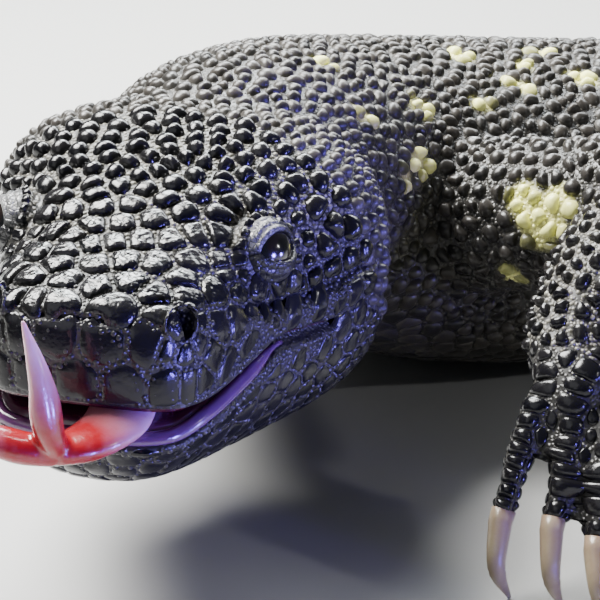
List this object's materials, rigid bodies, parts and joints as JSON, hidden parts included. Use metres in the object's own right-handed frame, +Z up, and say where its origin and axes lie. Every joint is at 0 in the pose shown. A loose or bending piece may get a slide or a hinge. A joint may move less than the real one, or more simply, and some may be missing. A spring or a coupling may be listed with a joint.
{
  "type": "beaded lizard model",
  "caption": "Life-size still model of a beaded lizard lying on its belly, head turned to its left, forked pink tongue out, black beaded skin with small pale yellow spots.",
  "frame": {"origin": "on the floor under the middle of the belly", "axes": "+Z up, the body along Y with the head towards -Y, the animal's left towards +X"},
  "size_m": [0.2549, 0.5766, 0.0697],
  "materials": {
    "skin": "beaded, satin",
    "face": "beaded, glossy",
    "eye": "wet gloss",
    "tongue": "wet gloss",
    "claw": "smooth horn"
  },
  "bodies": {
    "root": {"head": "face", "lower_jaw": "face", "neck": "skin", "chest": "skin", "loins": "skin", "tail_base": "skin", "tail_middle": "skin", "tail_tip": "skin", "left_upper_arm": "skin", "left_forearm": "skin", "left_hand": "skin", "left_thigh": "skin", "left_shin": "skin", "left_foot": "skin", "right_upper_arm": "skin", "right_forearm": "skin", "right_hand": "skin", "right_thigh": "skin", "right_shin": "skin", "right_foot": "skin", "left_eye": "eye", "right_eye": "eye", "tongue": "tongue", "left_hand_claw_1": "claw", "left_hand_claw_2": "claw", "left_hand_claw_3": "claw", "left_hand_claw_4": "claw", "left_hand_claw_5": "claw", "left_foot_claw_1": "claw", "left_foot_claw_2": "claw", "left_foot_claw_3": "claw", "left_foot_claw_4": "claw", "left_foot_claw_5": "claw", "right_hand_claw_1": "claw", "right_hand_claw_2": "claw", "right_hand_claw_3": "claw", "right_hand_claw_4": "claw", "right_hand_claw_5": "claw", "right_foot_claw_1": "claw", "right_foot_claw_2": "claw", "right_foot_claw_3": "claw", "right_foot_claw_4": "claw", "right_foot_claw_5": "claw"}
  },
  "joints": []
}
